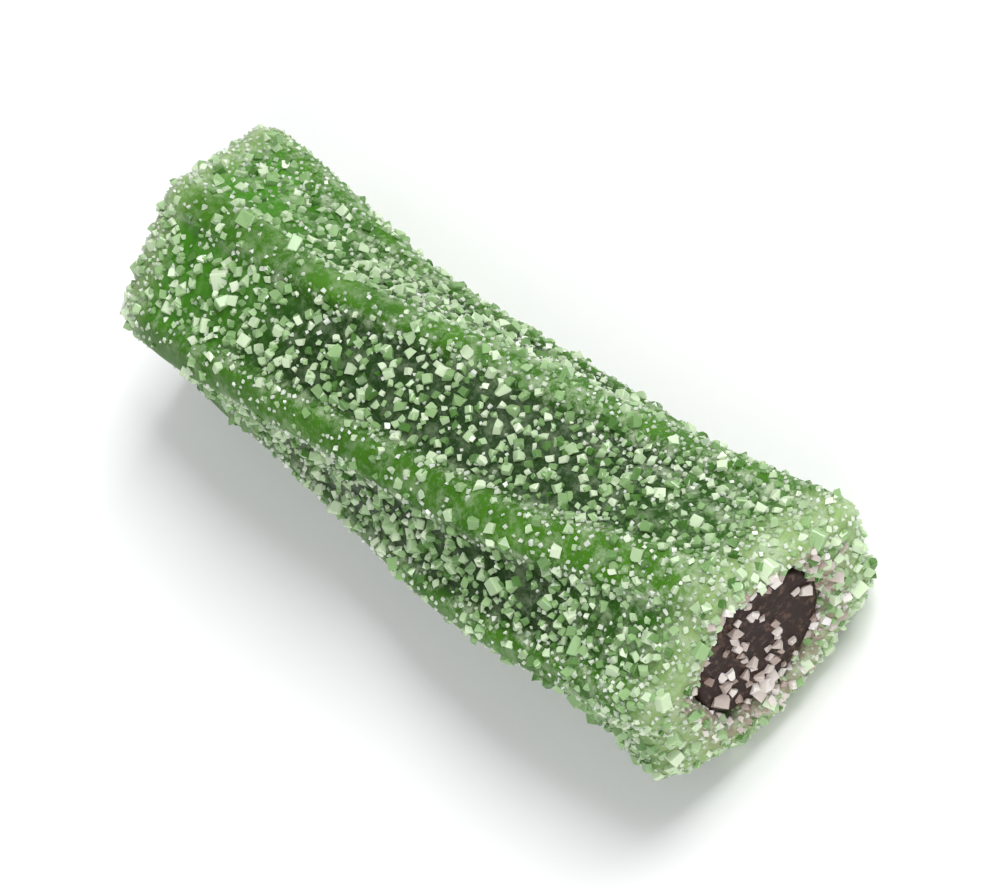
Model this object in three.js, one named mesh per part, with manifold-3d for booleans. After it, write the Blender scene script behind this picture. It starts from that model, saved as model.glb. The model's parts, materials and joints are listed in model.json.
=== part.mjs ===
// One piece of filled licorice: a soft dark core in a ribbed green sheath, cut from a long twisted rope
// and rolled in sour sugar. The cutter squeezed both ends, so they are wider and lower than the waist.
// Millimetres, +Z up. The piece lies along X on its flattened belly, with its origin under its middle.
import * as THREE from "three";
import { LoftGeometry } from "three/addons/geometries/LoftGeometry.js";
import { mergeVertices } from "three/addons/utils/BufferGeometryUtils.js";
import Module from "manifold-3d";

const { degToRad, euclideanModulo, lerp, radToDeg, seededRandom, smoothstep } = THREE.MathUtils;

// The rope. A rib's angle is the one at mid-length, where 0 points along +Y and 90 points up.
const LENGTH = 35.6;
const TWIST_DEG = 73;
const RIBS = [
  { angle: 50, width: 2.5, height: 0.62 },
  { angle: 120, width: 2.8, height: 0.7 },
  { angle: 176, width: 2.5, height: 0.62 },
  { angle: 234, width: 2.7, height: 0.66 },
  { angle: 292, width: 2.4, height: 0.6 },
  { angle: 351, width: 2.6, height: 0.64 },
];
const RIB_TOP_SHARE = 0.42; // how much of a rib's half width is its rounded top
const FLUTE_SAG = 0.12; // how far the middle of a flute lies below its edges
const BEND = 0.8; // how far the middle lies to the side of the ends
const WANDER_DEG = 2.2; // how far the ribs stray from an even twist
const SWELL = 0.13; // how far the skin stands in or out of an even taper

// The outside over the ribs: the waist, and each cut with its skewed face and its turned oval mouth.
// A cut's side is how far the cutter pushed the whole end sideways.
const WAIST = { at: -0.45, width: 10.4, height: 10 };
const NEAR_CUT = {
  width: 14.6,
  height: 8.7,
  skew: 0.105,
  side: 0.35,
  mouth: { width: 7.3, height: 5.3, y: -0.05, z: 0.45, turn: 16 },
};
const FAR_CUT = {
  width: 11.4,
  height: 9,
  skew: 0,
  side: 0,
  mouth: { width: 6.4, height: 4.4, y: -0.3, z: 0.2, turn: 0 },
};
const FLARE_POWER = 1.3;
const SKEW_POWER = 3;
const RIB_FADE = 0.35; // how much lower the cutter pressed the ribs
const RIM_ROUND = 1.1; // how far the rim of each cut is rounded
const FACE_BULGE = 0.15;
const BELLY_SINK = 0.45; // how far the belly has flattened under the soft rope's weight
const FLAT_HALF = 14; // where the belly starts to curl up towards the cuts
const CURL = 0.02;

// The bore, which the core fills: round inside the rope, and squeezed to the mouths at the cuts.
const BORE = { width: 7, height: 6.9, y: 0, z: 0, turn: 0 };
const SQUEEZE_POWER = 4;
const MOUTH_SETBACK = 0.3; // how far the bore's edge lies inside the cut
const CORE_GAP = 0.2;
const CORE_BULGE = 0.1;

// How finely the solids are divided.
const RIB_LINES = [-1, -0.7, -0.38, 0, 0.38, 0.7, 1];
const FLUTE_LINES = [1 / 3, 2 / 3];
const SKIN_STEPS = 25;
const RIM_STEPS = 3;
const BORE_STEPS = 8;
const CORE_STEPS = 10;
const CORE_SIDES = 32;

// The sugar crystals that are large enough to see one by one.
const CRYSTAL = { smallest: 0.42, largest: 0.85, slimmest: 0.7, crookedness: 0.16, sunk: 0.12 };
const SKIN_CRYSTALS = 144;
const FACE_CRYSTALS = 13;
const CORE_CRYSTALS = 7;
const RIB_CHANCE = 0.16; // the share of crystals that stay on the top of a rib, where they rub off
// The crystals that the piece stands on, two under each end, outside the flat of its belly.
const FEET = [
  { x: 16.6, line: 333 },
  { x: 16.6, line: 273 },
  { x: -16.8, line: 262 },
  { x: -16.8, line: 199 },
];
const SEED = 41;

const HALF = LENGTH / 2;
const SKIN_HALF = HALF - RIM_ROUND;
const MOUTH_HALF = HALF - MOUTH_SETBACK;
const TALLEST_RIB = Math.max(...RIBS.map((rib) => rib.height));
const wasm = await Module();
wasm.setup();

// The rope's sizes at x, between those of the waist and of the cut that x lies towards.
function sizesAt(x) {
  const along = x / HALF;
  const nearer = along > WAIST.at;
  const cut = nearer ? NEAR_CUT : FAR_CUT;
  const share = nearer ? (along - WAIST.at) / (1 - WAIST.at) : (WAIST.at - along) / (1 + WAIST.at);
  const flare = share ** FLARE_POWER;
  const squeeze = Math.min(share, 1) ** SQUEEZE_POWER;
  return {
    width: lerp(WAIST.width, cut.width, flare),
    height: lerp(WAIST.height, cut.height, flare),
    lean: cut.skew * share ** SKEW_POWER,
    side: cut.side * flare,
    ribHeight: 1 - RIB_FADE * squeeze,
    bore: {
      width: lerp(BORE.width, cut.mouth.width, squeeze),
      height: lerp(BORE.height, cut.mouth.height, squeeze),
      y: lerp(BORE.y, cut.mouth.y, squeeze),
      z: lerp(BORE.z, cut.mouth.z, squeeze),
      turn: lerp(BORE.turn, cut.mouth.turn, squeeze),
    },
  };
}

// A point of the straight rope, moved to where its bend, its skewed cuts and the table put it.
function placed(x, y, z) {
  const { height, lean, side } = sizesAt(x);
  const axis = (height - BELLY_SINK) / 2;
  const belly = CURL * Math.max(Math.abs(x) - FLAT_HALF, 0) ** 2;
  const bend = BEND * (1 - (x / HALF) ** 2);
  return new THREE.Vector3(x + lean * y, y + side - bend, Math.max(axis + z, belly));
}

// Half of a rib's width, as an angle at the waist.
function halfAngle(rib) {
  return radToDeg(rib.width / WAIST.width);
}

// How far a line of the rope lies from a rib's middle, in half widths of that rib.
function ribShare(line, rib) {
  return Math.abs(euclideanModulo(line - rib.angle + 180, 360) - 180) / halfAngle(rib);
}

// How far the skin lies inside the tallest rib on a line of the rope.
function skinDrop(x, line) {
  const { ribHeight } = sizesAt(x);
  let rise = 0;
  let fluteShare = 1;
  for (const rib of RIBS) {
    const share = ribShare(line, rib);
    rise = Math.max(rise, rib.height * (1 - smoothstep(share, RIB_TOP_SHARE, 1)));
    fluteShare = Math.min(fluteShare, smoothstep(share, 1, 2));
  }
  const swell = SWELL * Math.sin(0.29 * x + degToRad(2 * line));
  return TALLEST_RIB - ribHeight * rise + FLUTE_SAG * fluteShare - swell;
}

// A point of the bore's section: its wall at an angle, or with a gap or a reach below 1 inside the wall.
function inBore(bore, angle, gap = 0, reach = 1) {
  const turn = degToRad(bore.turn);
  const wide = reach * (bore.width / 2 - gap) * Math.cos(angle - turn);
  const high = reach * (bore.height / 2 - gap) * Math.sin(angle - turn);
  return {
    y: wide * Math.cos(turn) - high * Math.sin(turn) + bore.y,
    z: wide * Math.sin(turn) + high * Math.cos(turn) + bore.z,
  };
}

// A point of the rope's section at x, inset from the skin: 0 on the skin and 1 on the bore's wall.
function sheathPoint(x, line, inset) {
  const { width, height, bore } = sizesAt(x);
  const stray = WANDER_DEG * Math.sin(0.21 * x + degToRad(3 * line));
  const turned = degToRad(line - (TWIST_DEG * x) / LENGTH + stray);
  const drop = skinDrop(x, line);
  const skinY = (width / 2 - drop) * Math.cos(turned);
  const skinZ = ((height + BELLY_SINK) / 2 - drop) * Math.sin(turned);
  const wall = inBore(bore, turned);
  return placed(x, lerp(skinY, wall.y, inset), lerp(skinZ, wall.z, inset));
}

// The lines that the sheath's rings are drawn through, closest together on the ribs.
function ringLines() {
  return RIBS.flatMap((rib, k) => {
    const next = RIBS[(k + 1) % RIBS.length];
    const foot = rib.angle + halfAngle(rib);
    const nextFoot = rib.angle + euclideanModulo(next.angle - rib.angle, 360) - halfAngle(next);
    return [
      ...RIB_LINES.map((share) => rib.angle + share * halfAngle(rib)),
      ...FLUTE_LINES.map((share) => lerp(foot, nextFoot, share)),
    ];
  });
}

// A station of a cut's rounded rim, from 0 on the skin to 1 on the face.
function rimStation(cut, share) {
  const wall = (cut.height - cut.mouth.height) / 2;
  const bend = (share * Math.PI) / 2;
  return { x: SKIN_HALF + RIM_ROUND * Math.sin(bend), inset: (RIM_ROUND / wall) * (1 - Math.cos(bend)) };
}

// The stations of one end of the sheath: over its rounded rim, across the cut and to the bore's mouth.
function endStations(cut) {
  const rim = Array.from({ length: RIM_STEPS }, (_, k) => rimStation(cut, (k + 1) / RIM_STEPS));
  return [...rim, { x: HALF + FACE_BULGE, inset: 0.74 }, { x: MOUTH_HALF, inset: 1 }];
}

// The bare sheath as one closed loop of rings, which goes out along the skin and back through the bore.
function sheathGeometry() {
  const skin = Array.from({ length: SKIN_STEPS + 1 }, (_, k) => {
    return { x: lerp(-SKIN_HALF, SKIN_HALF, k / SKIN_STEPS), inset: 0 };
  });
  const bore = Array.from({ length: BORE_STEPS - 1 }, (_, k) => {
    return { x: MOUTH_HALF * Math.cos(((k + 1) * Math.PI) / BORE_STEPS), inset: 1 };
  });
  const farEnd = endStations(FAR_CUT).map(({ x, inset }) => ({ x: -x, inset }));
  const loop = [...skin, ...endStations(NEAR_CUT), ...bore, ...farEnd.reverse(), skin[0]];
  const lines = ringLines();
  return new LoftGeometry(loop.map(({ x, inset }) => lines.map((line) => sheathPoint(x, line, inset))));
}

// A point of the core at x, with a reach of 0 on its axis and 1 on its side.
function corePoint(x, angle, reach) {
  const { y, z } = inBore(sizesAt(x).bore, angle, CORE_GAP, reach);
  return placed(x, y, z);
}

// The bare core, with a low dome at each cut.
function coreGeometry() {
  const side = Array.from({ length: CORE_STEPS + 1 }, (_, k) => {
    return { x: -MOUTH_HALF * Math.cos((k * Math.PI) / CORE_STEPS), reach: 1 };
  });
  const dome = [
    { x: MOUTH_HALF + 0.65 * CORE_BULGE, reach: 0.75 },
    { x: MOUTH_HALF + CORE_BULGE, reach: 0.35 },
  ];
  const farDome = dome.map(({ x, reach }) => ({ x: -x, reach })).reverse();
  const angles = Array.from({ length: CORE_SIDES }, (_, k) => (2 * Math.PI * k) / CORE_SIDES);
  const rings = [...farDome, ...side, ...dome].map(({ x, reach }) => {
    return angles.map((angle) => corePoint(x, angle, reach));
  });
  return new LoftGeometry(rings, { capStart: true, capEnd: true });
}

// The geometry alone with its shared vertices merged, so that it is closed.
function closed(geometry) {
  const plain = new THREE.BufferGeometry().copy(geometry);
  plain.deleteAttribute("normal");
  plain.deleteAttribute("uv");
  return mergeVertices(plain);
}

// One crystal: a crooked little block, turned at random and sunk a little into what it sticks to.
function crystal(point, outwards, share = seededRandom() ** 2.5) {
  const size = lerp(CRYSTAL.smallest, CRYSTAL.largest, share);
  const slim = () => size * lerp(CRYSTAL.slimmest, 1, seededRandom());
  const block = closed(new THREE.BoxGeometry(size, slim(), slim()));
  const corners = block.getAttribute("position");
  for (let k = 0; k < corners.array.length; k++) {
    corners.array[k] += size * CRYSTAL.crookedness * (seededRandom() - 0.5);
  }
  const turn = () => 2 * Math.PI * seededRandom();
  const centre = point.clone().addScaledVector(outwards, -size * CRYSTAL.sunk);
  return block.rotateX(turn()).rotateY(turn()).rotateZ(turn()).translate(centre.x, centre.y, centre.z);
}

// The skin's outward normal, from a short step along the rope and one around it.
function skinNormal(x, line) {
  const along = sheathPoint(x + 0.05, line, 0).sub(sheathPoint(x - 0.05, line, 0));
  const around = sheathPoint(x, line + 0.5, 0).sub(sheathPoint(x, line - 0.5, 0));
  return around.cross(along).normalize();
}

// The skin's crystals, spread evenly: many in the flutes, few on the ribs and none against the table.
// The powers of the plastic number give steps that fill the skin evenly, whatever their count.
function skinCrystals() {
  const plastic = 1.324717957244746;
  const crystals = [];
  for (let draw = 1; crystals.length < SKIN_CRYSTALS; draw++) {
    const x = SKIN_HALF * (2 * ((draw / plastic) % 1) - 1);
    const line = 360 * ((draw / plastic ** 2) % 1);
    const onRib = RIBS.some((rib) => ribShare(line, rib) < 1);
    const point = sheathPoint(x, line, 0);
    if (point.z < CRYSTAL.largest || (onRib && seededRandom() > RIB_CHANCE)) continue;
    crystals.push(crystal(point, skinNormal(x, line)));
  }
  return crystals;
}

// One of the largest crystals, let down until its lowest corner meets the table.
function footCrystal({ x, line }) {
  const block = crystal(sheathPoint(x, line, 0), skinNormal(x, line), 1);
  block.computeBoundingBox();
  return block.translate(0, 0, -block.boundingBox.min.z);
}

// The crystals on the sheath's cut at one end, in a ring where its rim rounds into its face.
function faceCrystals(side) {
  const cut = side > 0 ? NEAR_CUT : FAR_CUT;
  return Array.from({ length: FACE_CRYSTALS }, (_, k) => {
    const line = (360 * (k + 0.6 * seededRandom())) / FACE_CRYSTALS;
    const { x, inset } = rimStation(cut, lerp(0.66, 0.86, seededRandom()));
    return sheathPoint(side * x, line, inset);
  })
    .filter((point) => point.z > CRYSTAL.largest)
    .map((point) => crystal(point, new THREE.Vector3(side, 0, 0)));
}

// The crystals on the core's dome at one end.
function coreCrystals(side) {
  return Array.from({ length: CORE_CRYSTALS }, (_, k) => {
    const angle = (2 * Math.PI * (k + 0.5 * seededRandom())) / CORE_CRYSTALS;
    const reach = k % 2 ? 0.6 : 0.3;
    const dome = MOUTH_HALF + CORE_BULGE * lerp(1, 0.7, reach);
    return crystal(corePoint(side * dome, angle, reach), new THREE.Vector3(side, 0, 0));
  });
}

function solid(geometry) {
  const { attributes, index } = closed(geometry);
  const vertProperties = attributes.position.array;
  const triVerts = new Uint32Array(index.array);
  return new wasm.Manifold(new wasm.Mesh({ numProp: 3, vertProperties, triVerts }));
}

// A sub-part: its bare body with its crystals fused on.
function sugared(name, body, crystals, material) {
  const whole = crystals.reduce((joined, grain) => joined.add(solid(grain)), solid(body));
  const { vertProperties, triVerts } = whole.getMesh();
  const geometry = new THREE.BufferGeometry();
  geometry.setAttribute("position", new THREE.BufferAttribute(vertProperties, 3));
  geometry.setIndex(new THREE.BufferAttribute(triVerts, 1));
  geometry.computeVertexNormals();
  const mesh = new THREE.Mesh(geometry, material);
  mesh.name = name;
  return mesh;
}

function sheath() {
  const loose = [...skinCrystals(), ...faceCrystals(1), ...faceCrystals(-1)];
  const crystals = [...loose, ...FEET.map(footCrystal)];
  const green = new THREE.MeshStandardMaterial({ color: 0x5b9436, roughness: 0.45, metalness: 0 });
  return sugared("sheath", sheathGeometry(), crystals, green);
}

function filling() {
  const crystals = [...coreCrystals(1), ...coreCrystals(-1)];
  const dark = new THREE.MeshStandardMaterial({ color: 0x3a2523, roughness: 0.5, metalness: 0 });
  return sugared("filling", coreGeometry(), crystals, dark);
}

seededRandom(SEED);
const licorice = new THREE.Group();
licorice.add(sheath(), filling());

export default licorice;
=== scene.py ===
import json
import math

import bmesh
import bpy
from mathutils import Euler, Matrix, Vector

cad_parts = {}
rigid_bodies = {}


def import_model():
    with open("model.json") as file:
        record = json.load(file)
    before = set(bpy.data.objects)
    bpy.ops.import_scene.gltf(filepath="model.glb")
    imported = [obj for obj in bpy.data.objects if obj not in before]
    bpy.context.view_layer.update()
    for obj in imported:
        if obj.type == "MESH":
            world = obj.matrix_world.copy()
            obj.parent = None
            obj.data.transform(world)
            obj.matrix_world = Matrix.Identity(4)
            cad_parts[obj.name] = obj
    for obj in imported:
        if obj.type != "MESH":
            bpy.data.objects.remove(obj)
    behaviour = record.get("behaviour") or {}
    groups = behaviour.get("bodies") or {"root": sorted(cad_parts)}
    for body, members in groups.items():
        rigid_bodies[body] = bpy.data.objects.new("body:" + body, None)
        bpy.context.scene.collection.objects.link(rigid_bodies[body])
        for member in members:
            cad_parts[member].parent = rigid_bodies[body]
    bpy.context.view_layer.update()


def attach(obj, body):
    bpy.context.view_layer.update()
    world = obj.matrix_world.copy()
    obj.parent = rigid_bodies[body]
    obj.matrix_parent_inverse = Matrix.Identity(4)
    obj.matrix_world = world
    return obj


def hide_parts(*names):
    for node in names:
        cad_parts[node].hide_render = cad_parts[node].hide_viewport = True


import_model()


# The sheath: soft, translucent green licorice, pressed through a nozzle that gives it six raised ribs and
# twisted to the left while it is warm. The cutter squeezed both ends wide and low and rounded their rims,
# and the bore in the middle holds the filling. The piece lies on its belly, which has flattened a little.
MM = 0.001
LENGTH = 35.6 * MM
HALF = LENGTH / 2
TWIST = math.radians(73)
RIBS = (  # angle at mid-length in degrees, 0 along +Y and 90 up, then width and height
    (50, 2.5 * MM, 0.62 * MM),
    (120, 2.8 * MM, 0.7 * MM),
    (176, 2.5 * MM, 0.62 * MM),
    (234, 2.7 * MM, 0.66 * MM),
    (292, 2.4 * MM, 0.6 * MM),
    (351, 2.6 * MM, 0.64 * MM),
)
RIB_TOP_SHARE = 0.42
TALLEST_RIB = 0.7 * MM
FLUTE_SAG = 0.12 * MM
WAIST = {"at": -0.45, "width": 10.4 * MM, "height": 10 * MM}
NEAR_CUT = {"width": 14.6 * MM, "height": 8.7 * MM, "skew": 0.105, "side": 0.35 * MM}
NEAR_MOUTH = {
    "width": 7.3 * MM, "height": 5.3 * MM, "y": -0.05 * MM, "z": 0.45 * MM, "turn": math.radians(16)
}
FAR_CUT = {"width": 11.4 * MM, "height": 9 * MM, "skew": 0, "side": 0}
FAR_MOUTH = {"width": 6.4 * MM, "height": 4.4 * MM, "y": -0.3 * MM, "z": 0.2 * MM, "turn": 0}
BORE = {"width": 7 * MM, "height": 6.9 * MM, "y": 0, "z": 0, "turn": 0}
RIM_ROUND = 1.1 * MM
SKIN_HALF = HALF - RIM_ROUND
MOUTH_HALF = HALF - 0.3 * MM
FACE_HALF = HALF + 0.15 * MM
FLARE_POWER = 1.3
SQUEEZE_POWER = 4
LEAN_POWER = 3
RIB_FADE = 0.35
BEND = 0.8 * MM
SWELL = 0.13 * MM
SWELL_WAVE = 290  # radians per metre
BELLY_SINK = 0.45 * MM
FLAT_HALF = 14 * MM
CURL = 20  # per metre
LINES = 120
SKIN_RINGS = 42


def between(low, high, share):
    return low + (high - low) * share


def smooth(value, low, high):
    share = min(max((value - low) / (high - low), 0), 1)
    return share * share * (3 - 2 * share)


def rope_sizes(x):
    """The rope's width, height, lean, squeeze and bore at x, between its waist and the nearer cut."""
    along = x / HALF
    nearer = along > WAIST["at"]
    cut, mouth = (NEAR_CUT, NEAR_MOUTH) if nearer else (FAR_CUT, FAR_MOUTH)
    share = abs(along - WAIST["at"]) / (1 - WAIST["at"] if nearer else 1 + WAIST["at"])
    flare = share**FLARE_POWER
    squeeze = min(share, 1) ** SQUEEZE_POWER
    return {
        "width": between(WAIST["width"], cut["width"], flare),
        "height": between(WAIST["height"], cut["height"], flare),
        "lean": cut["skew"] * share**LEAN_POWER,
        "side": cut["side"] * flare,
        "squeeze": squeeze,
        "bore": {side: between(BORE[side], mouth[side], squeeze) for side in BORE},
    }


def middle(x):
    """The middle of the rope's section at x."""
    sizes = rope_sizes(x)
    bend = BEND * (1 - (x / HALF) ** 2)
    return Vector((x, sizes["side"] - bend, (sizes["height"] - BELLY_SINK) / 2))


def rib_share(degrees, rib):
    """How far a line of the rope lies from a rib's middle, in half widths of that rib."""
    angle, width, height = rib
    half_width = math.degrees(width / WAIST["width"])
    return abs((degrees - angle + 180) % 360 - 180) / half_width


def rib_rise(degrees):
    """How far a rib raises a line of the rope, as a share of the rib's height and in metres."""
    share, height = max((1 - smooth(rib_share(degrees, rib), RIB_TOP_SHARE, 1), rib[2]) for rib in RIBS)
    return share, share * height


def flute_drop(degrees):
    return FLUTE_SAG * min(smooth(rib_share(degrees, rib), 1, 2) for rib in RIBS)


def choose(piece, wanted):
    """Selects the points of a piece in edit mode for which wanted is true, and nothing else."""
    form = bmesh.from_edit_mesh(piece.data)
    for point in form.verts:
        point.select = wanted(point)
    form.select_flush_mode()
    bmesh.update_edit_mesh(piece.data)


def number_in_order(piece):
    """Numbers a piece's edges and faces by their points, as extruding gives them other numbers each run."""
    form = bmesh.from_edit_mesh(piece.data)
    for parts in (form.edges, form.faces):
        in_order = sorted(parts, key=lambda part: sorted(point.index for point in part.verts))
        numbers = {part: number for number, part in enumerate(in_order)}
        parts.sort(key=numbers.get)
    bmesh.update_edit_mesh(piece.data)


def finish_with(piece, kind, **settings):
    """Adds a modifier to a piece and applies it."""
    bpy.ops.object.select_all(action="DESELECT")
    piece.select_set(True)
    bpy.context.view_layer.objects.active = piece
    modifier = piece.modifiers.new(kind.lower(), kind)
    for name, value in settings.items():
        setattr(modifier, name, value)
    bpy.ops.object.modifier_apply(modifier=modifier.name)


# The nozzle's outline, with each rib raised, stands at the far end.
bpy.ops.object.select_all(action="DESELECT")
foot_radius = WAIST["width"] / 2 - TALLEST_RIB
bpy.ops.mesh.primitive_circle_add(
    vertices=LINES, radius=foot_radius, location=(-SKIN_HALF, 0, 0), rotation=(0, math.pi / 2, 0)
)
sheath = bpy.context.object
sheath.name = "licorice_sheath"
bpy.ops.object.transform_apply(location=True, rotation=True, scale=True)
rib_mark = sheath.data.attributes.new("rib", "FLOAT", "POINT")
for line in range(LINES):
    rib_mark.data[line].value = rib_rise(360 * line / LINES)[0]
bpy.ops.object.mode_set(mode="EDIT")
for line in range(LINES):
    degrees = 360 * line / LINES
    radius = foot_radius + rib_rise(degrees)[1] - flute_drop(degrees)
    choose(sheath, lambda point: point.index == line)
    bpy.ops.transform.resize(value=(1,) + (radius / foot_radius,) * 2, center_override=(-SKIN_HALF, 0, 0))

# The outline is drawn out along the rope, a little further round the twist at every step.
skin_step = 2 * SKIN_HALF / SKIN_RINGS
bpy.ops.mesh.select_all(action="SELECT")
bpy.ops.transform.rotate(
    value=-TWIST * SKIN_HALF / LENGTH, orient_axis="X", center_override=(-SKIN_HALF, 0, 0)
)
for ring in range(SKIN_RINGS):
    bpy.ops.mesh.extrude_region_move(TRANSFORM_OT_translate={"value": (skin_step, 0, 0)})
    bpy.ops.transform.rotate(value=TWIST * skin_step / LENGTH, orient_axis="X", center_override=(0, 0, 0))

# Each ring is squeezed, swollen, bent aside, skewed and set down on the table.
for ring in range(SKIN_RINGS + 1):
    x = -SKIN_HALF + ring * skin_step
    sizes = rope_sizes(x)
    straight = (x, 0, 0)
    choose(sheath, lambda point: ring * LINES <= point.index < (ring + 1) * LINES)
    bpy.ops.transform.tosphere(value=RIB_FADE * sizes["squeeze"], center_override=straight)
    swell_turn = (math.pi / 2 - SWELL_WAVE * x - 2 * TWIST * x / LENGTH) / 2
    swell = SWELL / (WAIST["width"] / 2)
    bpy.ops.transform.rotate(value=swell_turn, orient_axis="X", center_override=straight)
    bpy.ops.transform.resize(value=(1, 1 + swell, 1 - swell), center_override=straight)
    bpy.ops.transform.rotate(value=-swell_turn, orient_axis="X", center_override=straight)
    wider = sizes["width"] / WAIST["width"]
    taller = (sizes["height"] + BELLY_SINK) / WAIST["width"]
    bpy.ops.transform.resize(value=(1, wider, taller), center_override=straight)
    bpy.ops.transform.rotate(value=math.atan(sizes["lean"]), orient_axis="Z", center_override=straight)
    bpy.ops.transform.translate(value=middle(x) - Vector(straight))
    belly = CURL * max(abs(x) - FLAT_HALF, 0) ** 2
    choose(
        sheath,
        lambda point: ring * LINES <= point.index < (ring + 1) * LINES and point.co.z < belly,
    )
    bpy.ops.transform.resize(value=(1, 1, 0), center_override=(x, 0, belly))


MEAN_DEPTH = 0.8 * TALLEST_RIB  # of the skin, below the tops of the ribs


def section(x, inset):
    """The middle, half sizes, turn and lean of a ring, inset from 0 on the skin to 1 on the bore."""
    sizes = rope_sizes(x)
    bore = sizes["bore"]
    half_width = between(sizes["width"] / 2 - MEAN_DEPTH, bore["width"] / 2, inset)
    half_height = between((sizes["height"] + BELLY_SINK) / 2 - MEAN_DEPTH, bore["height"] / 2, inset)
    centre = middle(x) + inset * Vector((0, bore["y"], bore["z"]))
    return centre, half_width, half_height, inset * bore["turn"], sizes["lean"]


def rim_station(side, share):
    """A station of a cut's rounded rim, from 0 on the skin to 1 on the face."""
    cut, mouth = (NEAR_CUT, NEAR_MOUTH) if side > 0 else (FAR_CUT, FAR_MOUTH)
    wall = (cut["height"] - mouth["height"]) / 2
    turn = share * math.pi / 2
    return SKIN_HALF + RIM_ROUND * math.sin(turn), RIM_ROUND / wall * (1 - math.cos(turn))


def draw_out(last, to):
    """Extrudes the chosen ring to another section of the rope."""
    last_centre, last_width, last_height, last_turn, last_lean = last
    centre, half_width, half_height, turn, lean = to
    size = (1, half_width / last_width, half_height / last_height)
    bpy.ops.mesh.extrude_region_move(TRANSFORM_OT_translate={"value": centre - last_centre})
    bpy.ops.transform.rotate(value=-math.atan(last_lean), orient_axis="Z", center_override=centre)
    bpy.ops.transform.rotate(value=last_turn, orient_axis="X", center_override=centre)
    bpy.ops.transform.resize(value=size, center_override=centre)
    bpy.ops.transform.rotate(value=-turn, orient_axis="X", center_override=centre)
    bpy.ops.transform.rotate(value=math.atan(lean), orient_axis="Z", center_override=centre)


# Over each rounded rim and across the cut, then back into the bore. Each step is a place along the rope
# and an inset.
RIM_STEPS = 4
face_steps = [(FACE_HALF, 0.74), (HALF, 0.92), (MOUTH_HALF, 1), (HALF - 1 * MM, 1)]
face_steps += [(MOUTH_HALF * math.cos(turn * math.pi / 8), 1) for turn in (1, 2, 3)]
for side, first in ((1, SKIN_RINGS * LINES), (-1, 0)):
    choose(sheath, lambda point: first <= point.index < first + LINES)
    rim_steps = [rim_station(side, (step + 1) / RIM_STEPS) for step in range(RIM_STEPS)]
    last = section(side * SKIN_HALF, 0)
    for x, inset in rim_steps + face_steps:
        ring = section(side * x, inset)
        draw_out(last, ring)
        last = ring
end_rings = RIM_STEPS + len(face_steps)
bore_rings = end_rings * LINES
skin_points = (SKIN_RINGS + 1) * LINES
choose(
    sheath,
    lambda point: skin_points + bore_rings - LINES <= point.index < skin_points + bore_rings
    or point.index >= skin_points + 2 * bore_rings - LINES,
)
bpy.ops.mesh.bridge_edge_loops()
bpy.ops.mesh.select_all(action="SELECT")
bpy.ops.mesh.normals_make_consistent(inside=False)
number_in_order(sheath)
bpy.ops.object.mode_set(mode="OBJECT")

# How much sugar each spot holds, none in the bore: grains lie mostly in the flutes and on the cuts, and
# crumbs on the cuts, along the ribs' edges and on the upper flank, where the extra crumbs and dust are
# also painted light that whitens the flank facing the main light. Round each mouth the blade has smeared
# some filling.
FACE_RINGS = 7
CUT_EDGE = (15.6 * MM, 16.9 * MM)
NEAR_END = (7 * MM, 15 * MM)
FAR_END = (-16 * MM, -8 * MM)
UPPER_FLANK = (1.5 * MM, 3.5 * MM)
FAR_SUGAR, MOST_SUGAR, NEAR_SUGAR, CUT_SUGAR = 0.6, 0.9, 0.06, 0.95
MOST_RUBBED, LEAST_RUBBED = 0.85, 0.45
CLEAR_ON_CUT = 0.3
FLUTE_CRUMBS, RIB_CRUMBS, RIB_EDGE_CRUMBS, NEAR_CRUMBS, FLANK_CRUMBS_AND_LIGHT = 0.22, 0.4, 0.6, 0.28, 0.74
marks = sheath.data.attributes
for mark in ("sugar", "clear", "crumbs", "smear"):
    marks.new(mark, "FLOAT", "POINT")
for point in sheath.data.vertices:
    ring = (point.index - skin_points) // LINES % end_rings
    rib = marks["rib"].data[point.index].value
    cut = smooth(abs(point.co.x), *CUT_EDGE)
    if point.index < skin_points or ring < FACE_RINGS:
        near = smooth(point.co.x, *NEAR_END)
        flank = smooth(point.co.y, *UPPER_FLANK)
        thickness = between(FAR_SUGAR, MOST_SUGAR, smooth(point.co.x, *FAR_END)) + NEAR_SUGAR * near
        rubbed = rib * between(MOST_RUBBED, LEAST_RUBBED, max(near, flank))
        sugar = between(1 - rubbed, CUT_SUGAR, cut) * thickness
        marks["sugar"].data[point.index].value = sugar
        marks["clear"].data[point.index].value = sugar * between(1, CLEAR_ON_CUT, cut)
        rib_edge = 4 * rib * (1 - rib)
        crumbs = (between(FLUTE_CRUMBS, RIB_CRUMBS, rib) + RIB_EDGE_CRUMBS * rib_edge) * thickness
        # On the upper flank the extra crumbs are partly painted light: they whiten the side that faces the
        # main light.
        crumbs = max(crumbs + NEAR_CRUMBS * near, FLANK_CRUMBS_AND_LIGHT * flank)
        marks["crumbs"].data[point.index].value = between(crumbs, 1, cut)
        marks["rib"].data[point.index].value = rib * (1 - cut)
    if point.index >= skin_points and ring < FACE_RINGS:
        marks["smear"].data[point.index].value = smooth(ring, 2, 5)
finish_with(sheath, "SUBSURF", levels=1, render_levels=1)
dents = bpy.data.textures.new("dents", "CLOUDS")
dents.noise_scale = 4 * MM
finish_with(sheath, "DISPLACE", texture=dents, texture_coords="LOCAL", strength=0.16 * MM, mid_level=0.5)
bpy.ops.object.mode_set(mode="EDIT")
choose(sheath, lambda point: point.co.z < 0)
bpy.ops.transform.resize(value=(1, 1, 0), center_override=(0, 0, 0))
bpy.ops.object.mode_set(mode="OBJECT")
bpy.ops.object.shade_smooth()


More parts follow.
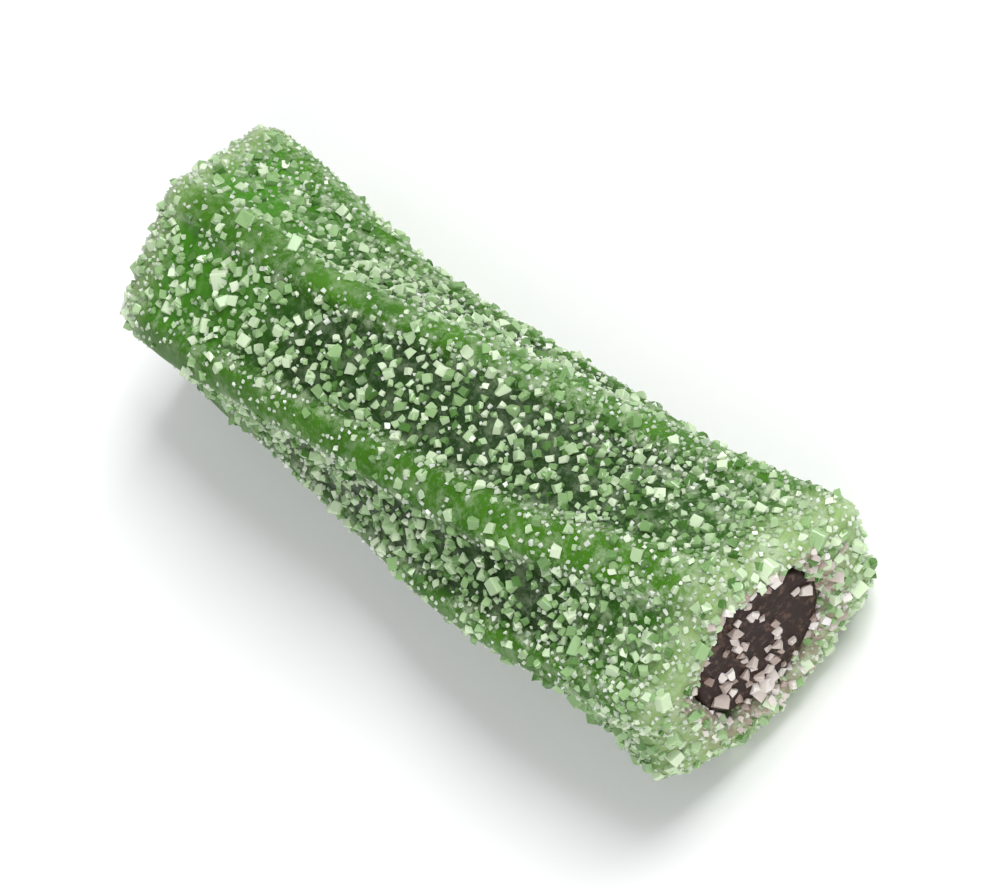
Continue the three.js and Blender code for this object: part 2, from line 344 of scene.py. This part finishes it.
def linear(red, green, blue):
    """A colour measured in the photograph's own 0 to 255, as a shader reads it."""
    return tuple((value / 255) ** 2.2 for value in (red, green, blue)) + (1,)


def new_finish(name):
    """A material with its shader, and its tree of nodes to add to."""
    finish = bpy.data.materials.new(name)
    finish.use_nodes = True
    tree = finish.node_tree
    return finish, tree, tree.nodes["Principled BSDF"]


def node(tree, kind, links=(), **settings):
    """Adds a node to a tree, sets its values and feeds its sockets."""
    added = tree.nodes.new(kind)
    for name, value in settings.items():
        setattr(added, name, value)
    for socket, source in dict(links).items():
        if isinstance(source, bpy.types.NodeSocket):
            tree.links.new(source, added.inputs[socket])
        else:
            added.inputs[socket].default_value = source
    return added


def mixed(tree, share, low, high):
    """Mixes two colours by a share, which may each be a value or another node's socket."""
    return node(tree, "ShaderNodeMix", {0: share, 6: low, 7: high}, data_type="RGBA").outputs[2]


def noise(tree, place, scale, detail=2, roughness=0.5):
    values = {"Vector": place, "Scale": scale, "Detail": detail, "Roughness": roughness}
    return node(tree, "ShaderNodeTexNoise", values).outputs["Fac"]


def ranged(tree, value, low=0, high=1, to_low=0, to_high=1):
    """Carries a value from one range to another, and keeps it inside."""
    values = {0: value, 1: low, 2: high, 3: to_low, 4: to_high}
    return node(tree, "ShaderNodeMapRange", values, clamp=True).outputs[0]


def worked_out(tree, operation, first, second=0):
    return node(tree, "ShaderNodeMath", {0: first, 1: second}, operation=operation).outputs[0]


def marked(tree, name):
    """A mark of the piece that wears the material."""
    return node(tree, "ShaderNodeAttribute", attribute_name=name).outputs["Fac"]


def bumpy(tree, height, depth):
    values = {"Height": height, "Strength": 0.6, "Distance": depth}
    return node(tree, "ShaderNodeBump", values).outputs[0]


# Fine sugar dust, which clings in flecks to the licorice and to the filling alike.
dust_group = bpy.data.node_groups.new("sugar dust", "ShaderNodeTree")
dust_group.interface.new_socket("Place", in_out="INPUT", socket_type="NodeSocketVector")
for name in ("Fineness", "Bare below", "Full above", "Most"):
    dust_group.interface.new_socket(name, in_out="INPUT", socket_type="NodeSocketFloat")
dust_group.interface.new_socket("Dust", in_out="OUTPUT", socket_type="NodeSocketFloat")
given = node(dust_group, "NodeGroupInput").outputs
flecks = noise(dust_group, given["Place"], given["Fineness"], 4, 0.7)
lying = ranged(dust_group, flecks, given["Bare below"], given["Full above"], 0, given["Most"])
node(dust_group, "NodeGroupOutput", {0: lying})


def dusted(tree, place, fineness, bare_below, full_above, most):
    """How much sugar dust lies at each spot."""
    values = {0: place, 1: fineness, 2: bare_below, 3: full_above, 4: most}
    return node(tree, "ShaderNodeGroup", values, node_tree=dust_group).outputs[0]


licorice, tree, shader = new_finish("green licorice")
place = node(tree, "ShaderNodeTexCoord").outputs["Object"]
mottle = noise(tree, place, 420, 3, 0.6)
along = node(tree, "ShaderNodeSeparateXYZ", {0: place}).outputs[0]
near_paler = ranged(tree, along, 10 * MM, 16 * MM, 0, 0.4)
far_paler = ranged(tree, along, -6 * MM, -14 * MM, 0, 0.95)
paler = worked_out(tree, "MAXIMUM", near_paler, far_paler)
# The flutes are darker than the ribs: partly the dark filling seen through the thinner gel, partly painted
# shade in the hollows between the sugar grains.
flute_green_and_shade = mixed(tree, mottle, linear(14, 34, 5), linear(36, 70, 14))
end_green = mixed(tree, mottle, linear(40, 98, 6), linear(80, 148, 24))
flute_green_and_shade = mixed(tree, paler, flute_green_and_shade, end_green)
rib_green = mixed(tree, mottle, linear(34, 78, 8), linear(80, 132, 28))
green = mixed(tree, marked(tree, "rib"), flute_green_and_shade, rib_green)
cut = ranged(tree, worked_out(tree, "ABSOLUTE", along), 15.4 * MM, 17.2 * MM)
green = mixed(tree, cut, green, linear(134, 162, 102))
green = mixed(tree, marked(tree, "smear"), green, linear(140, 128, 110))
# The crumbs mark sets the sugar dust, which on the upper flank is partly painted light.
sugar_and_flank_light = marked(tree, "crumbs")
for fineness, bare_below, full_above, most, dust_colour in (
    (1100, 0.48, 0.66, 1, linear(162, 180, 144)),
    (3600, 0.52, 0.66, 0.5, linear(176, 194, 160)),
):
    dust = dusted(tree, place, fineness, bare_below, full_above, most)
    dust = worked_out(tree, "MULTIPLY", dust, sugar_and_flank_light)
    green = mixed(tree, dust, green, dust_colour)
tree.links.new(green, shader.inputs["Base Color"])
tree.links.new(ranged(tree, mottle, 0, 1, 0.36, 0.6), shader.inputs["Roughness"])
pores = noise(tree, place, 3600, 3, 0.7)
tree.links.new(bumpy(tree, pores, 0.08 * MM), shader.inputs["Normal"])
shader.inputs["Subsurface Weight"].default_value = 0.35
shader.inputs["Subsurface Radius"].default_value = (0.5, 1.0, 0.3)
shader.inputs["Subsurface Scale"].default_value = 0.8 * MM
shader.inputs["IOR"].default_value = 1.45
shader.inputs["Specular IOR Level"].default_value = 0.3
sheath.data.materials.append(licorice)
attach(sheath, "root")
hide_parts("sheath")


# The filling: a soft purple-brown core that runs through the sheath and bulges a little at both cuts, where
# the blade dragged it oval. It is pressed out with the sheath, so the two stick together all round.
CORE_GAP = 0.2 * MM
CORE_BULGE = 0.1 * MM
CORE_LINES = 64
bpy.ops.object.select_all(action="DESELECT")
bpy.ops.mesh.primitive_circle_add(
    vertices=CORE_LINES, radius=BORE["width"] / 2, location=(0, 0, 0), rotation=(0, math.pi / 2, 0)
)
core = bpy.context.object
core.name = "licorice_filling"
bpy.ops.object.transform_apply(location=True, rotation=True, scale=True)
bpy.ops.object.mode_set(mode="EDIT")


def core_section(x, reach):
    """The middle, half sizes, turn and lean of a ring that reaches from the axis, 0, to the side, 1."""
    sizes = rope_sizes(x)
    bore = sizes["bore"]
    centre = middle(x) + Vector((0, bore["y"], bore["z"]))
    half_width = reach * (bore["width"] / 2 - CORE_GAP)
    half_height = reach * (bore["height"] / 2 - CORE_GAP)
    return centre, half_width, half_height, bore["turn"], sizes["lean"]


core_steps = [(x * MM, 1) for x in (2, 4, 6, 8, 10, 12, 13.5, 15, 16, 16.8)] + [(MOUTH_HALF, 1)]
core_steps += [
    (MOUTH_HALF + CORE_BULGE * math.sin(turn), math.cos(turn)) for turn in (0.3, 0.6, 0.9, 1.2, 1.4)
]
centre, half_width, half_height, turn, lean = core_section(0, 1)
size = (1, half_width / (BORE["width"] / 2), half_height / (BORE["width"] / 2))
bpy.ops.transform.translate(value=centre)
bpy.ops.transform.resize(value=size, center_override=centre)
bpy.ops.transform.rotate(value=-turn, orient_axis="X", center_override=centre)
bpy.ops.transform.rotate(value=math.atan(lean), orient_axis="Z", center_override=centre)
for side in (1, -1):
    choose(core, lambda point: point.index < CORE_LINES)
    last = core_section(0, 1)
    for x, reach in core_steps:
        ring = core_section(side * x, reach)
        draw_out(last, ring)
        last = ring
    bpy.ops.mesh.extrude_region_move(TRANSFORM_OT_translate={"value": (side * 0.01 * MM, 0, 0)})
    bpy.ops.mesh.merge(type="CENTER")
bpy.ops.mesh.select_all(action="SELECT")
bpy.ops.mesh.normals_make_consistent(inside=False)
number_in_order(core)
bpy.ops.object.mode_set(mode="OBJECT")
finish_with(core, "SUBSURF", levels=1, render_levels=1)
bpy.ops.object.shade_smooth()

filling, tree, shader = new_finish("dark filling")
place = node(tree, "ShaderNodeTexCoord").outputs["Object"]
lumps = noise(tree, place, 900, 4, 0.6)
brown = mixed(tree, lumps, linear(16, 6, 2), linear(52, 28, 18))
brown = mixed(tree, dusted(tree, place, 2600, 0.52, 0.66, 0.45), brown, linear(124, 96, 82))
tree.links.new(brown, shader.inputs["Base Color"])
tree.links.new(ranged(tree, lumps, 0, 1, 0.42, 0.68), shader.inputs["Roughness"])
tree.links.new(bumpy(tree, lumps, 0.15 * MM), shader.inputs["Normal"])
shader.inputs["Subsurface Weight"].default_value = 0.1
shader.inputs["Subsurface Radius"].default_value = (1.0, 0.4, 0.4)
shader.inputs["Subsurface Scale"].default_value = 0.4 * MM
shader.inputs["Specular IOR Level"].default_value = 0.3
core.data.materials.append(filling)
CORE_END = (17.2 * MM, 17.3 * MM)
SUGARED_SIDE = (-2 * MM, 1 * MM)
LEAST_CORE_SUGAR = 0.25
core_sugar_mark = core.data.attributes.new("sugar", "FLOAT", "POINT")
for point in core.data.vertices:
    on_end = smooth(abs(point.co.x), *CORE_END)
    to_one_side = smooth(-point.co.y, *SUGARED_SIDE)
    core_sugar_mark.data[point.index].value = on_end * between(LEAST_CORE_SUGAR, 1, to_one_side)
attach(core, "root")
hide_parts("filling")


# The sour sugar: crooked, translucent crystals that stick where the damp rope was rolled in them, thick in
# the flutes and on the cuts, and rubbed off the tops of the ribs. The largest are set one by one where the
# solid has them, and the piece stands on four of those. The finer ones are scattered.
SMALLEST = 0.42 * MM
LARGEST = 0.85 * MM
SIZE_POWER = 2.5
SHORTEST_SIDE = 0.7
CROOKEDNESS = 0.16
SINK = 0.12
WANDER = math.radians(2.2)
WANDER_WAVE = 210  # radians per metre
CORNERS = (
    (1, 1, 1), (1, 1, -1), (1, -1, 1), (1, -1, -1), (-1, 1, -1), (-1, 1, 1), (-1, -1, -1), (-1, -1, 1)
)
SIDES = ((0, 2, 3, 1), (4, 6, 7, 5), (0, 1, 4, 5), (2, 7, 6, 3), (0, 5, 7, 2), (1, 3, 6, 4))


def fixed_draws(state):
    """Shares between 0 and 1, in the same row that places the solid's crystals."""
    word = 0xFFFFFFFF
    while True:
        state = (state + 0x6D2B79F5) & word
        stirred = (state ^ state >> 15) * (state | 1) & word
        stirred ^= stirred + ((stirred ^ stirred >> 7) * (stirred | 61) & word) & word
        yield (stirred ^ stirred >> 14) / 2**32


def in_bore(x, angle, gap=0, reach=1):
    """Across and up from the rope's middle to the bore's wall, or to inside it by a gap or a reach."""
    bore = rope_sizes(x)["bore"]
    wide = reach * (bore["width"] / 2 - gap) * math.cos(angle - bore["turn"])
    high = reach * (bore["height"] / 2 - gap) * math.sin(angle - bore["turn"])
    across = wide * math.cos(bore["turn"]) - high * math.sin(bore["turn"])
    up = wide * math.sin(bore["turn"]) + high * math.cos(bore["turn"])
    return across + bore["y"], up + bore["z"]


def placed(x, across, up):
    """Where a point of the straight rope lies in the real one, which bends, leans and rests on its belly."""
    point = middle(x) + Vector((rope_sizes(x)["lean"] * across, across, up))
    point.z = max(point.z, CURL * max(abs(x) - FLAT_HALF, 0) ** 2)
    return point


def skin_point(x, degrees, inset=0):
    """A point on one line of the rope, inset from 0 on the skin to 1 on the bore's wall."""
    sizes = rope_sizes(x)
    stray = WANDER * math.sin(WANDER_WAVE * x + math.radians(3 * degrees))
    angle = math.radians(degrees) - TWIST * x / LENGTH + stray
    rise = (1 - RIB_FADE * sizes["squeeze"]) * rib_rise(degrees)[1]
    swell = SWELL * math.sin(SWELL_WAVE * x + math.radians(2 * degrees))
    drop = TALLEST_RIB - rise + flute_drop(degrees) - swell
    wall_across, wall_up = in_bore(x, angle)
    across = between((sizes["width"] / 2 - drop) * math.cos(angle), wall_across, inset)
    up = between(((sizes["height"] + BELLY_SINK) / 2 - drop) * math.sin(angle), wall_up, inset)
    return placed(x, across, up)


def outward(x, degrees):
    """The way that the skin faces."""
    along = skin_point(x + 0.05 * MM, degrees) - skin_point(x - 0.05 * MM, degrees)
    around = skin_point(x, degrees + 0.5) - skin_point(x, degrees - 0.5)
    return around.cross(along).normalized()


def crystal(point, way, share=None):
    """The corners of one crooked block, turned at random and sunk a little into what it sticks to."""
    size = between(SMALLEST, LARGEST, next(draws) ** SIZE_POWER if share is None else share)
    width, height = [size * between(SHORTEST_SIDE, 1, next(draws)) for side in range(2)]
    half = Vector((size, width, height)) / 2
    corners = [
        Vector([a * b + CROOKEDNESS * size * (next(draws) - 0.5) for a, b in zip(half, corner)])
        for corner in CORNERS
    ]
    turned = Euler([2 * math.pi * next(draws) for axis in range(3)]).to_matrix()
    return [point - SINK * size * way + turned @ corner for corner in corners]


# Even spots over the skin, few of them on the ribs, then a ring of crystals round each cut, the four feet
# and the ends of the filling.
SKIN_CRYSTALS = 144
RIM_CRYSTALS = 13
RIM_BAND = (0.66, 0.86)
CORE_CRYSTALS = 7
CORE_REACHES = (0.3, 0.6)
KEPT_ON_RIBS = 0.16
PLASTIC_NUMBER = 1.324717957244746  # its powers spread the spots evenly
FEET = ((16.6 * MM, 333), (16.6 * MM, 273), (-16.8 * MM, 262), (-16.8 * MM, 199))
draws = fixed_draws(41)
next(draws)
skin_blocks = []
spot = 0
while len(skin_blocks) < SKIN_CRYSTALS:
    spot += 1
    x = SKIN_HALF * (2 * (spot / PLASTIC_NUMBER % 1) - 1)
    degrees = 360 * (spot / PLASTIC_NUMBER**2 % 1)
    on_rib = any(rib_share(degrees, rib) < 1 for rib in RIBS)
    point = skin_point(x, degrees)
    if point.z >= LARGEST and not (on_rib and next(draws) > KEPT_ON_RIBS):
        skin_blocks.append(crystal(point, outward(x, degrees)))
for side in (1, -1):
    face_points = []
    for step in range(RIM_CRYSTALS):
        degrees = 360 * (step + 0.6 * next(draws)) / RIM_CRYSTALS
        x, inset = rim_station(side, between(*RIM_BAND, next(draws)))
        face_points.append(skin_point(side * x, degrees, inset))
    way = Vector((side, 0, 0))
    skin_blocks += [crystal(point, way) for point in face_points if point.z > LARGEST]
for x, degrees in FEET:
    block = crystal(skin_point(x, degrees), outward(x, degrees), 1)
    lowest = Vector((0, 0, min(corner.z for corner in block)))
    skin_blocks.append([corner - lowest for corner in block])
core_blocks = []
for side in (1, -1):
    for step in range(CORE_CRYSTALS):
        angle = 2 * math.pi * (step + 0.5 * next(draws)) / CORE_CRYSTALS
        reach = CORE_REACHES[step % 2]
        x = side * (MOUTH_HALF + CORE_BULGE * between(1, 0.7, reach))
        point = placed(x, *in_bore(x, angle, CORE_GAP, reach))
        core_blocks.append(crystal(point, Vector((side, 0, 0))))


def sugar_finish(name, shade, light, clearness):
    """Frosted or clear crystal, each grain a little lighter or darker than the next."""
    finish, tree, shader = new_finish(name)
    tree.links.new(mixed(tree, marked(tree, "tint"), shade, light), shader.inputs["Base Color"])
    grit = noise(tree, node(tree, "ShaderNodeTexCoord").outputs["Object"], 6000)
    tree.links.new(ranged(tree, grit, 0, 1, 0.08, 0.35), shader.inputs["Roughness"])
    shader.inputs["Transmission Weight"].default_value = clearness
    shader.inputs["IOR"].default_value = 1.5
    shader.inputs["Subsurface Weight"].default_value = 0.4
    shader.inputs["Subsurface Radius"].default_value = (0.9, 1.0, 0.8)
    shader.inputs["Subsurface Scale"].default_value = 0.2 * MM
    return finish


EDGE_WEAR = 0.04 * MM
GOLDEN_SHARE = 0.618


def joined_blocks(name, blocks, finish):
    """One piece of all the crystals of a kind, each with its edges worn and a tint of its own."""
    mesh = bpy.data.meshes.new(name)
    starts = range(0, len(CORNERS) * len(blocks), len(CORNERS))
    sides = [[start + corner for corner in side] for start in starts for side in SIDES]
    mesh.from_pydata([corner for block in blocks for corner in block], [], sides)
    piece = bpy.data.objects.new(name, mesh)
    bpy.context.scene.collection.objects.link(piece)
    tint = mesh.attributes.new("tint", "FLOAT", "POINT")
    for corner in range(len(mesh.vertices)):
        tint.data[corner].value = corner // len(CORNERS) * GOLDEN_SHARE % 1
    finish_with(piece, "BEVEL", width=EDGE_WEAR, segments=1, limit_method="NONE")
    mesh.materials.append(finish)
    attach(piece, "root")


GRAIN_SHAPES = 5


def loose_grains(name, cut_corners):
    """A few crooked blocks of unit size, with corners cut off or not, in a collection of their own."""
    box = bpy.data.collections.new(name)
    bpy.context.scene.collection.children.link(box)
    for shape in range(GRAIN_SHAPES):
        bpy.ops.object.select_all(action="DESELECT")
        bpy.ops.mesh.primitive_cube_add(size=1, location=(0, 0, 0))
        grain = bpy.context.object
        bpy.ops.object.mode_set(mode="EDIT")
        bpy.ops.mesh.select_all(action="SELECT")
        bpy.ops.transform.vertex_random(offset=0.18, uniform=1, normal=0, seed=shape + 1)
        if cut_corners:
            choose(grain, lambda point: point.index % 3 == shape % 3)
            bpy.ops.mesh.bevel(offset=0.3, segments=1, affect="VERTICES")
        bpy.ops.object.mode_set(mode="OBJECT")
        for holder in list(grain.users_collection):
            holder.objects.unlink(grain)
        box.objects.link(grain)
    return box


def drawn(tree, seed):
    """A share drawn for each grain."""
    return node(tree, "FunctionNodeRandomValue", {"Seed": seed}, data_type="FLOAT").outputs[1]


def drawn_vector(tree, seed, low, high):
    values = {0: (low,) * 3, 1: (high,) * 3, "Seed": seed}
    return node(tree, "FunctionNodeRandomValue", values, data_type="FLOAT_VECTOR").outputs[0]


def scaled(tree, vector, scale):
    return node(tree, "ShaderNodeVectorMath", {0: vector, "Scale": scale}, operation="SCALE").outputs[0]


DRIFT_WAVES = 260  # per metre
DRIFT_EDGE = (0.48, 0.66)
PATCH_WAVES = 450  # per metre
PATCH_EDGE = (0.35, 0.6)
CLEARANCE = 1.2  # of the largest grain, above the table
PLACES_TRIED = 2  # on each square as wide as the grains lie apart
GRAIN_POWER = 1.6
GRAIN_SINK = 0.04
FLATTEST, LONGEST = 0.65, 1.05
ALL_ROUND = 6.28


def coat(name, carrier, mark_name, drifted, box, sizes, apart, seed, finish, patch):
    """Grains of one size scattered as thickly as the carrier's mark says, with drifts and thin patches."""
    smallest, largest = sizes
    bpy.ops.object.select_all(action="DESELECT")
    bpy.ops.mesh.primitive_plane_add(size=1, location=(0, 0, 0))
    grains = bpy.context.object
    grains.name = name
    tree = bpy.data.node_groups.new(name, "GeometryNodeTree")
    tree.interface.new_socket("Geometry", in_out="OUTPUT", socket_type="NodeSocketGeometry")
    surface = node(tree, "GeometryNodeObjectInfo", {"Object": carrier}).outputs["Geometry"]
    mark = node(
        tree, "GeometryNodeInputNamedAttribute", {"Name": mark_name}, data_type="FLOAT"
    ).outputs["Attribute"]
    place = node(tree, "GeometryNodeInputPosition").outputs[0]
    drift = ranged(tree, noise(tree, place, DRIFT_WAVES), *DRIFT_EDGE, 0, drifted)
    thin = ranged(tree, noise(tree, place, PATCH_WAVES), *PATCH_EDGE, 1 - patch, 1)
    height = node(tree, "ShaderNodeSeparateXYZ", {0: place}).outputs[2]
    clear = worked_out(tree, "GREATER_THAN", height, CLEARANCE * largest)
    share = worked_out(tree, "MAXIMUM", mark, drift)
    share = worked_out(tree, "MULTIPLY", share, clear)
    share = worked_out(tree, "MULTIPLY", share, thin)
    density = {"Distance Min": apart, "Density Max": PLACES_TRIED / apart**2, "Density Factor": share}
    scatter = node(
        tree,
        "GeometryNodeDistributePointsOnFaces",
        {"Mesh": surface, **density, "Seed": seed},
        distribute_method="POISSON",
    )
    growth = worked_out(tree, "POWER", drawn(tree, seed + 1), GRAIN_POWER)
    size = ranged(tree, growth, 0, 1, smallest, largest)
    inward = scaled(tree, scatter.outputs["Normal"], worked_out(tree, "MULTIPLY", size, -GRAIN_SINK))
    points = node(
        tree, "GeometryNodeSetPosition", {"Geometry": scatter.outputs["Points"], "Offset": inward}
    ).outputs[0]
    kinds = node(
        tree,
        "GeometryNodeCollectionInfo",
        {"Collection": box, "Separate Children": True, "Reset Children": True},
    ).outputs[0]
    scale = scaled(tree, drawn_vector(tree, seed + 2, FLATTEST, LONGEST), size)
    turn = drawn_vector(tree, seed + 3, 0, ALL_ROUND)
    copies = node(
        tree,
        "GeometryNodeInstanceOnPoints",
        {"Points": points, "Instance": kinds, "Pick Instance": True, "Rotation": turn, "Scale": scale},
    ).outputs[0]
    copies = node(
        tree,
        "GeometryNodeStoreNamedAttribute",
        {"Geometry": copies, "Name": "tint", "Value": drawn(tree, seed + 4)},
        data_type="FLOAT",
        domain="INSTANCE",
    ).outputs[0]
    real = node(tree, "GeometryNodeRealizeInstances", {"Geometry": copies}).outputs[0]
    node(tree, "NodeGroupOutput", {0: real})
    finish_with(grains, "NODES", node_group=tree)
    grains.data.materials.clear()
    grains.data.materials.append(finish)
    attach(grains, "root")


frosted_sugar = sugar_finish("frosted sour sugar", linear(146, 184, 122), linear(226, 243, 208), 0.2)
fine_sugar = sugar_finish("fine sour sugar", linear(158, 182, 144), linear(234, 242, 226), 0.2)
clear_sugar = sugar_finish("clear sour sugar", linear(90, 144, 58), linear(186, 226, 158), 0.5)
joined_blocks("coarse_sugar", skin_blocks, frosted_sugar)
cut_grains = loose_grains("cut grains", True)
plain_grains = loose_grains("plain grains", False)
grains = (0.22 * MM, 0.48 * MM)
crumbs = (0.12 * MM, 0.22 * MM)
coat("sugar_grains", sheath, "sugar", 0.8, cut_grains, grains, 0.4 * MM, 20, frosted_sugar, 0.4)
coat("clear_grains", sheath, "clear", 0.5, cut_grains, grains, 0.44 * MM, 25, clear_sugar, 0.4)
coat("sugar_crumbs", sheath, "crumbs", 0.4, plain_grains, crumbs, 0.25 * MM, 30, fine_sugar, 0.3)
pink_sugar = sugar_finish("sugar on the filling", linear(170, 148, 138), linear(255, 247, 240), 0.2)
coat("mouth_sugar", sheath, "smear", 0, cut_grains, grains, 0.34 * MM, 50, pink_sugar, 0.3)
joined_blocks("coarse_filling_sugar", core_blocks, pink_sugar)
core_grains = (0.26 * MM, 0.62 * MM)
coat("filling_sugar", core, "sugar", 0, cut_grains, core_grains, 0.38 * MM, 40, pink_sugar, 0.8)
for box in (cut_grains, plain_grains):
    for grain in list(box.objects):
        bpy.data.objects.remove(grain)
    bpy.data.collections.remove(box)


# The table: a plain white board under a large soft light on each side of the piece. The camera looks
# through a long lens from the photograph's own angle, and is turned to lay the piece across the frame as
# it lies there.
bpy.ops.mesh.primitive_plane_add(size=3, location=(0, 0, 0))
table = bpy.context.object
table.name = "table"
board, tree, shader = new_finish("white board")
shader.inputs["Base Color"].default_value = (0.9, 0.9, 0.9, 1)
shader.inputs["Roughness"].default_value = 0.6
table.data.materials.append(board)

world = bpy.data.worlds.new("studio")
bpy.context.scene.world = world
world.use_nodes = True
world.node_tree.nodes["Background"].inputs["Color"].default_value = (0.95, 0.97, 1, 1)
world.node_tree.nodes["Background"].inputs["Strength"].default_value = 0.38

ELEVATION = math.radians(52)
ROLL = math.radians(52.6)
FRAME_WIDTH = 40.2 * MM
AIM_RIGHT, AIM_UP = -1.63 * MM, 1.21 * MM
LENS = 400
SENSOR = 36
back = Vector((math.cos(ELEVATION), 0, math.sin(ELEVATION)))
level = Vector((-math.sin(ELEVATION), 0, math.cos(ELEVATION)))
right = math.cos(ROLL) * Vector((0, 1, 0)) - math.sin(ROLL) * level
upward = math.sin(ROLL) * Vector((0, 1, 0)) + math.cos(ROLL) * level
aim = AIM_RIGHT * right + AIM_UP * upward
distance = FRAME_WIDTH * LENS / SENSOR
turned = Matrix((right, upward, back)).transposed().to_euler()
bpy.ops.object.camera_add(location=aim + distance * back, rotation=turned)
camera = bpy.context.object
camera.data.lens = LENS
camera.data.sensor_width = SENSOR
camera.data.clip_start = 0.01
camera.data.clip_end = 20
bpy.context.scene.camera = camera


LIGHT_DISTANCE = 0.5


def soft_light(name, direction, size, power):
    """A square studio light that faces the piece from a direction."""
    way = Vector(direction).normalized()
    turned = way.to_track_quat("Z", "Y").to_euler()
    bpy.ops.object.light_add(type="AREA", location=way * LIGHT_DISTANCE, rotation=turned)
    light = bpy.context.object
    light.name = name
    light.data.size = size
    light.data.energy = power


soft_light("main_light", (0.1, 0.8, 1), 0.3, 2.65)
soft_light("side_light", (1, -0.7, 0.7), 0.4, 1.5)
bpy.context.scene.view_settings.view_transform = "Standard"
